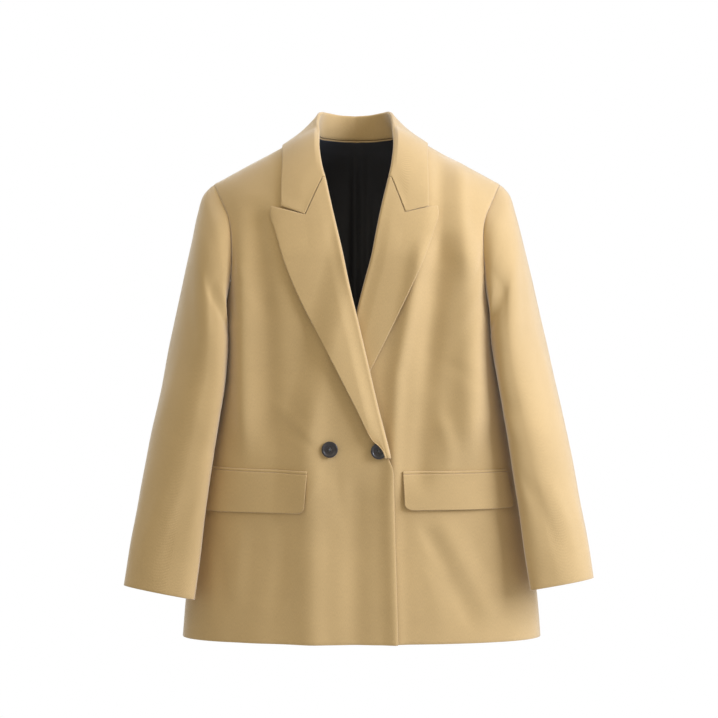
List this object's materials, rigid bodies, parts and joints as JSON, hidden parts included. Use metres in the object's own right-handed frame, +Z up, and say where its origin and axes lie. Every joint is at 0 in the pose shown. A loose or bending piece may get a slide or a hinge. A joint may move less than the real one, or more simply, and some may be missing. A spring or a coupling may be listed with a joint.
{
  "type": "double breasted blazer",
  "caption": "Boxy double breasted blazer in camel twill with wide peak lapels, flap pockets, dark buttons and a black lining, in its worn shape with no wearer.",
  "frame": {"origin": "between the shoulders, on the centre line, where the wearer's shoulders and neck base hold the garment up", "axes": "+Z up, the front faces -Y, +X is the wearer's left"},
  "size_m": [0.7097, 0.271, 0.8104],
  "materials": {
    "camel_twill": "fine twill, matte with a soft sheen",
    "black_satin": "smooth satin lining",
    "dark_button": "dark horn look, polished"
  },
  "bodies": {
    "root": {"back_left": "camel_twill", "back_right": "camel_twill", "front_left": "camel_twill", "front_right": "camel_twill", "lapel_left": "camel_twill", "lapel_right": "camel_twill", "collar": "camel_twill", "top_sleeve_left": "camel_twill", "under_sleeve_left": "camel_twill", "top_sleeve_right": "camel_twill", "under_sleeve_right": "camel_twill", "jet_left": "camel_twill", "flap_left": "camel_twill", "jet_right": "camel_twill", "flap_right": "camel_twill", "button_side": "dark_button", "button_front": "dark_button", "back_lining": "black_satin"}
  },
  "joints": []
}
